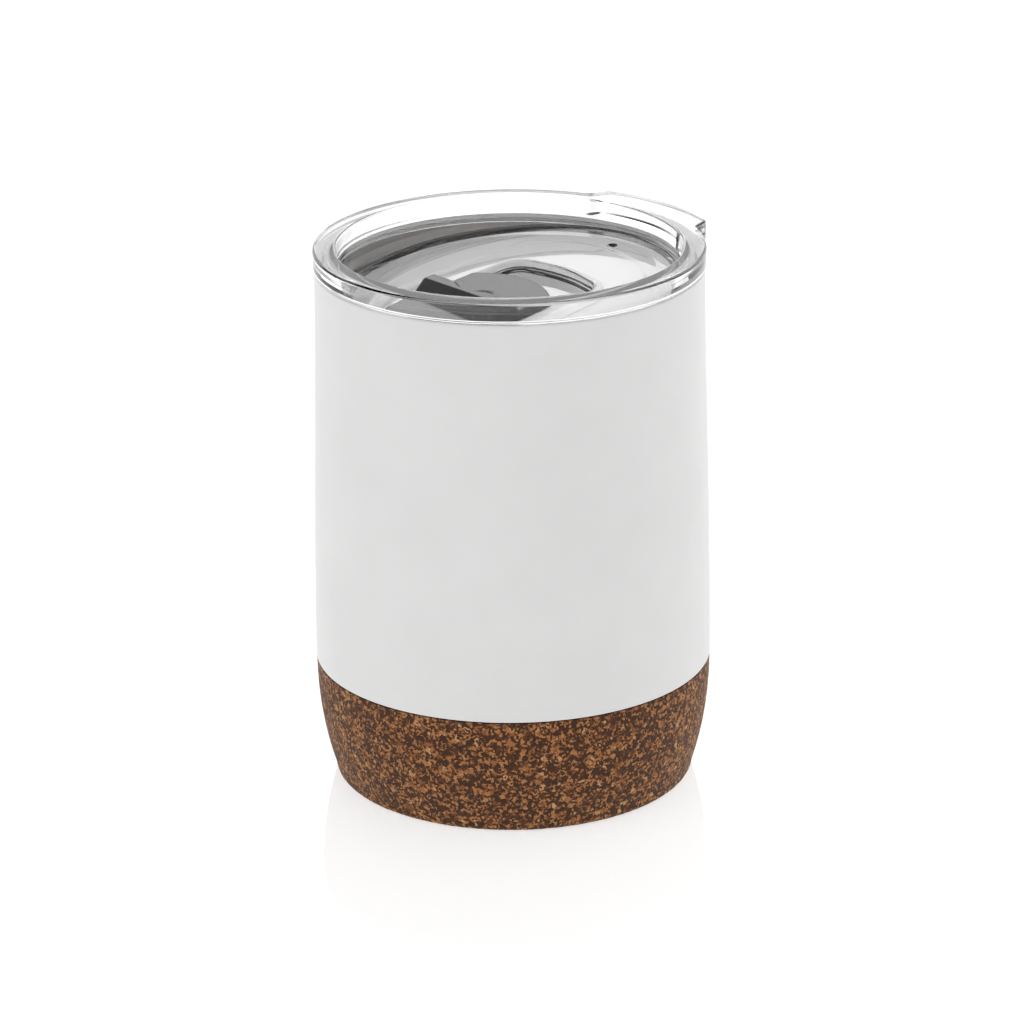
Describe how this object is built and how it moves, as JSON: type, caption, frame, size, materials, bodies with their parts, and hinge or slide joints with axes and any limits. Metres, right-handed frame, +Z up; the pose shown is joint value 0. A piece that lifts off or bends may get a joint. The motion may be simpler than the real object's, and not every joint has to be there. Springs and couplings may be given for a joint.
{
  "type": "insulated travel mug",
  "caption": "Rigid double-walled steel travel mug with a cork base and a clear press-in lid whose dark stopper slides over the drinking hole.",
  "frame": {"origin": "centre of the cork base's flat underside, on the mug's axis", "axes": "+Z up along the mug's axis, +Y towards the lid's thumb tab, +X to the right when facing +Y"},
  "size_m": [0.0822, 0.0847, 0.1135],
  "materials": {
    "white_coat": "satin white coating",
    "polished_steel": "polished",
    "plain_steel": "plain pressed steel",
    "solder_glass": "dark solder glass",
    "getter_grey": "pressed powder",
    "copper_foil": "thin metal foil",
    "cork": "sealed agglomerated dark cork with light grains",
    "adhesive": "set adhesive",
    "clear_plastic": "clear glossy moulding",
    "clear_silicone": "clear silicone",
    "dark_plastic": "fine textured dark plastic",
    "grey_silicone": "soft silicone"
  },
  "bodies": {
    "cup": {"outer_shell": "white_coat", "inner_liner": "polished_steel", "liner_base": "polished_steel", "outer_base_cap": "plain_steel", "vacuum_seal_bead": "solder_glass", "getter_clip": "plain_steel", "getter_pellet": "getter_grey", "heat_shield_foil": "copper_foil", "cork_base": "cork", "cork_bond_ring": "adhesive", "cork_bond_pad": "adhesive"},
    "lid": {"lid_body": "clear_plastic", "lid_gasket": "clear_silicone"},
    "stopper": {"slider_plate": "dark_plastic", "slider_seal": "grey_silicone", "slider_keeper": "dark_plastic"}
  },
  "joints": [
    {"name": "lid_lift", "type": "slide", "parent": "cup", "child": "lid", "axis": [0, 0, 1], "range_m": [0, 0.04]},
    {"name": "stopper_slide", "type": "slide", "parent": "lid", "child": "stopper", "axis": [0, 0.994, 0.1094], "range_m": [0, 0.0086]}
  ]
}
